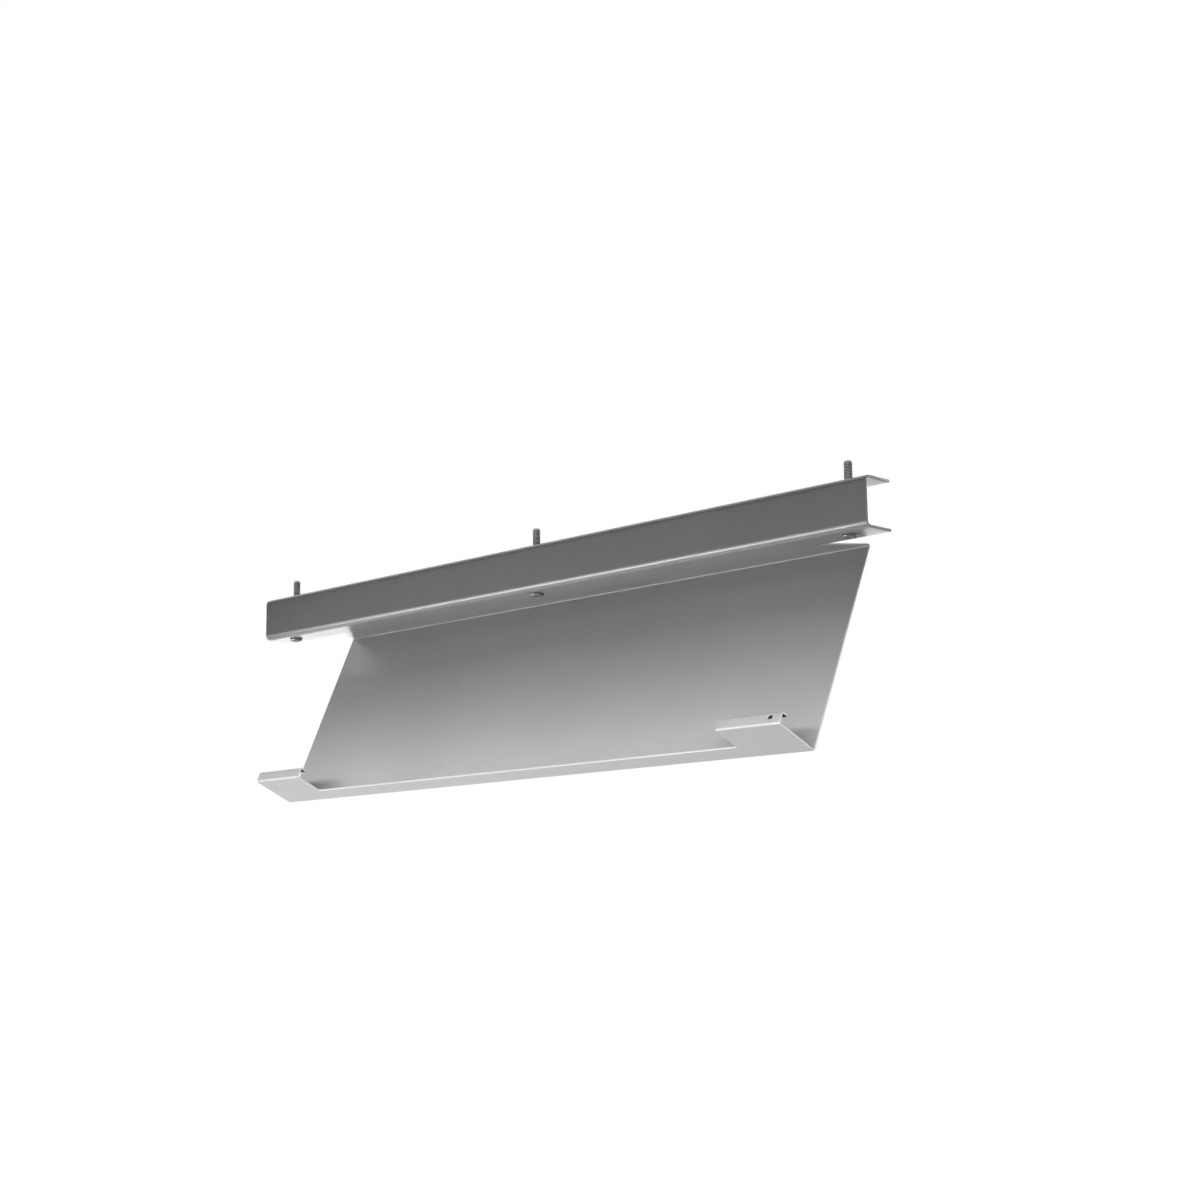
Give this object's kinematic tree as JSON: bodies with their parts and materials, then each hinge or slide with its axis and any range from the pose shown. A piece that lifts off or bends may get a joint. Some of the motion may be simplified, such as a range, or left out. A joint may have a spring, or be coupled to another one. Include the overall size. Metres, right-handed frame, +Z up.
{
  "type": "under desk cable tray",
  "caption": "Folded sheet metal cable tray hooked into a channel rail under a desktop, leaning back, with a narrow floor and hemmed end tabs; it swings up about the rail's edge.",
  "frame": {"origin": "axis of the middle screw where it crosses the rail's top face, which meets the underside of the tabletop", "axes": "+Z up, +X along the rail towards the end with the lip hole, +Y towards the back of the desk"},
  "size_m": [0.65, 0.0997, 0.1916],
  "materials": {
    "rail_powder_coat": "satin powder coat",
    "tray_powder_coat": "satin powder coat",
    "zinc_plated_steel": "bright zinc plate",
    "sleeve_steel": "turned"
  },
  "bodies": {
    "rail": {"support_rail": "rail_powder_coat", "fixing_screws": "zinc_plated_steel", "centre_sleeve": "sleeve_steel", "end_sleeves": "sleeve_steel"},
    "tray": {"cable_tray": "tray_powder_coat"}
  },
  "joints": [
    {"name": "tray_swing", "type": "hinge", "parent": "rail", "child": "tray", "pos_m": [0, 0.0115, -0.034], "axis": [-1, 0, 0], "range_deg": [0, 60]}
  ]
}
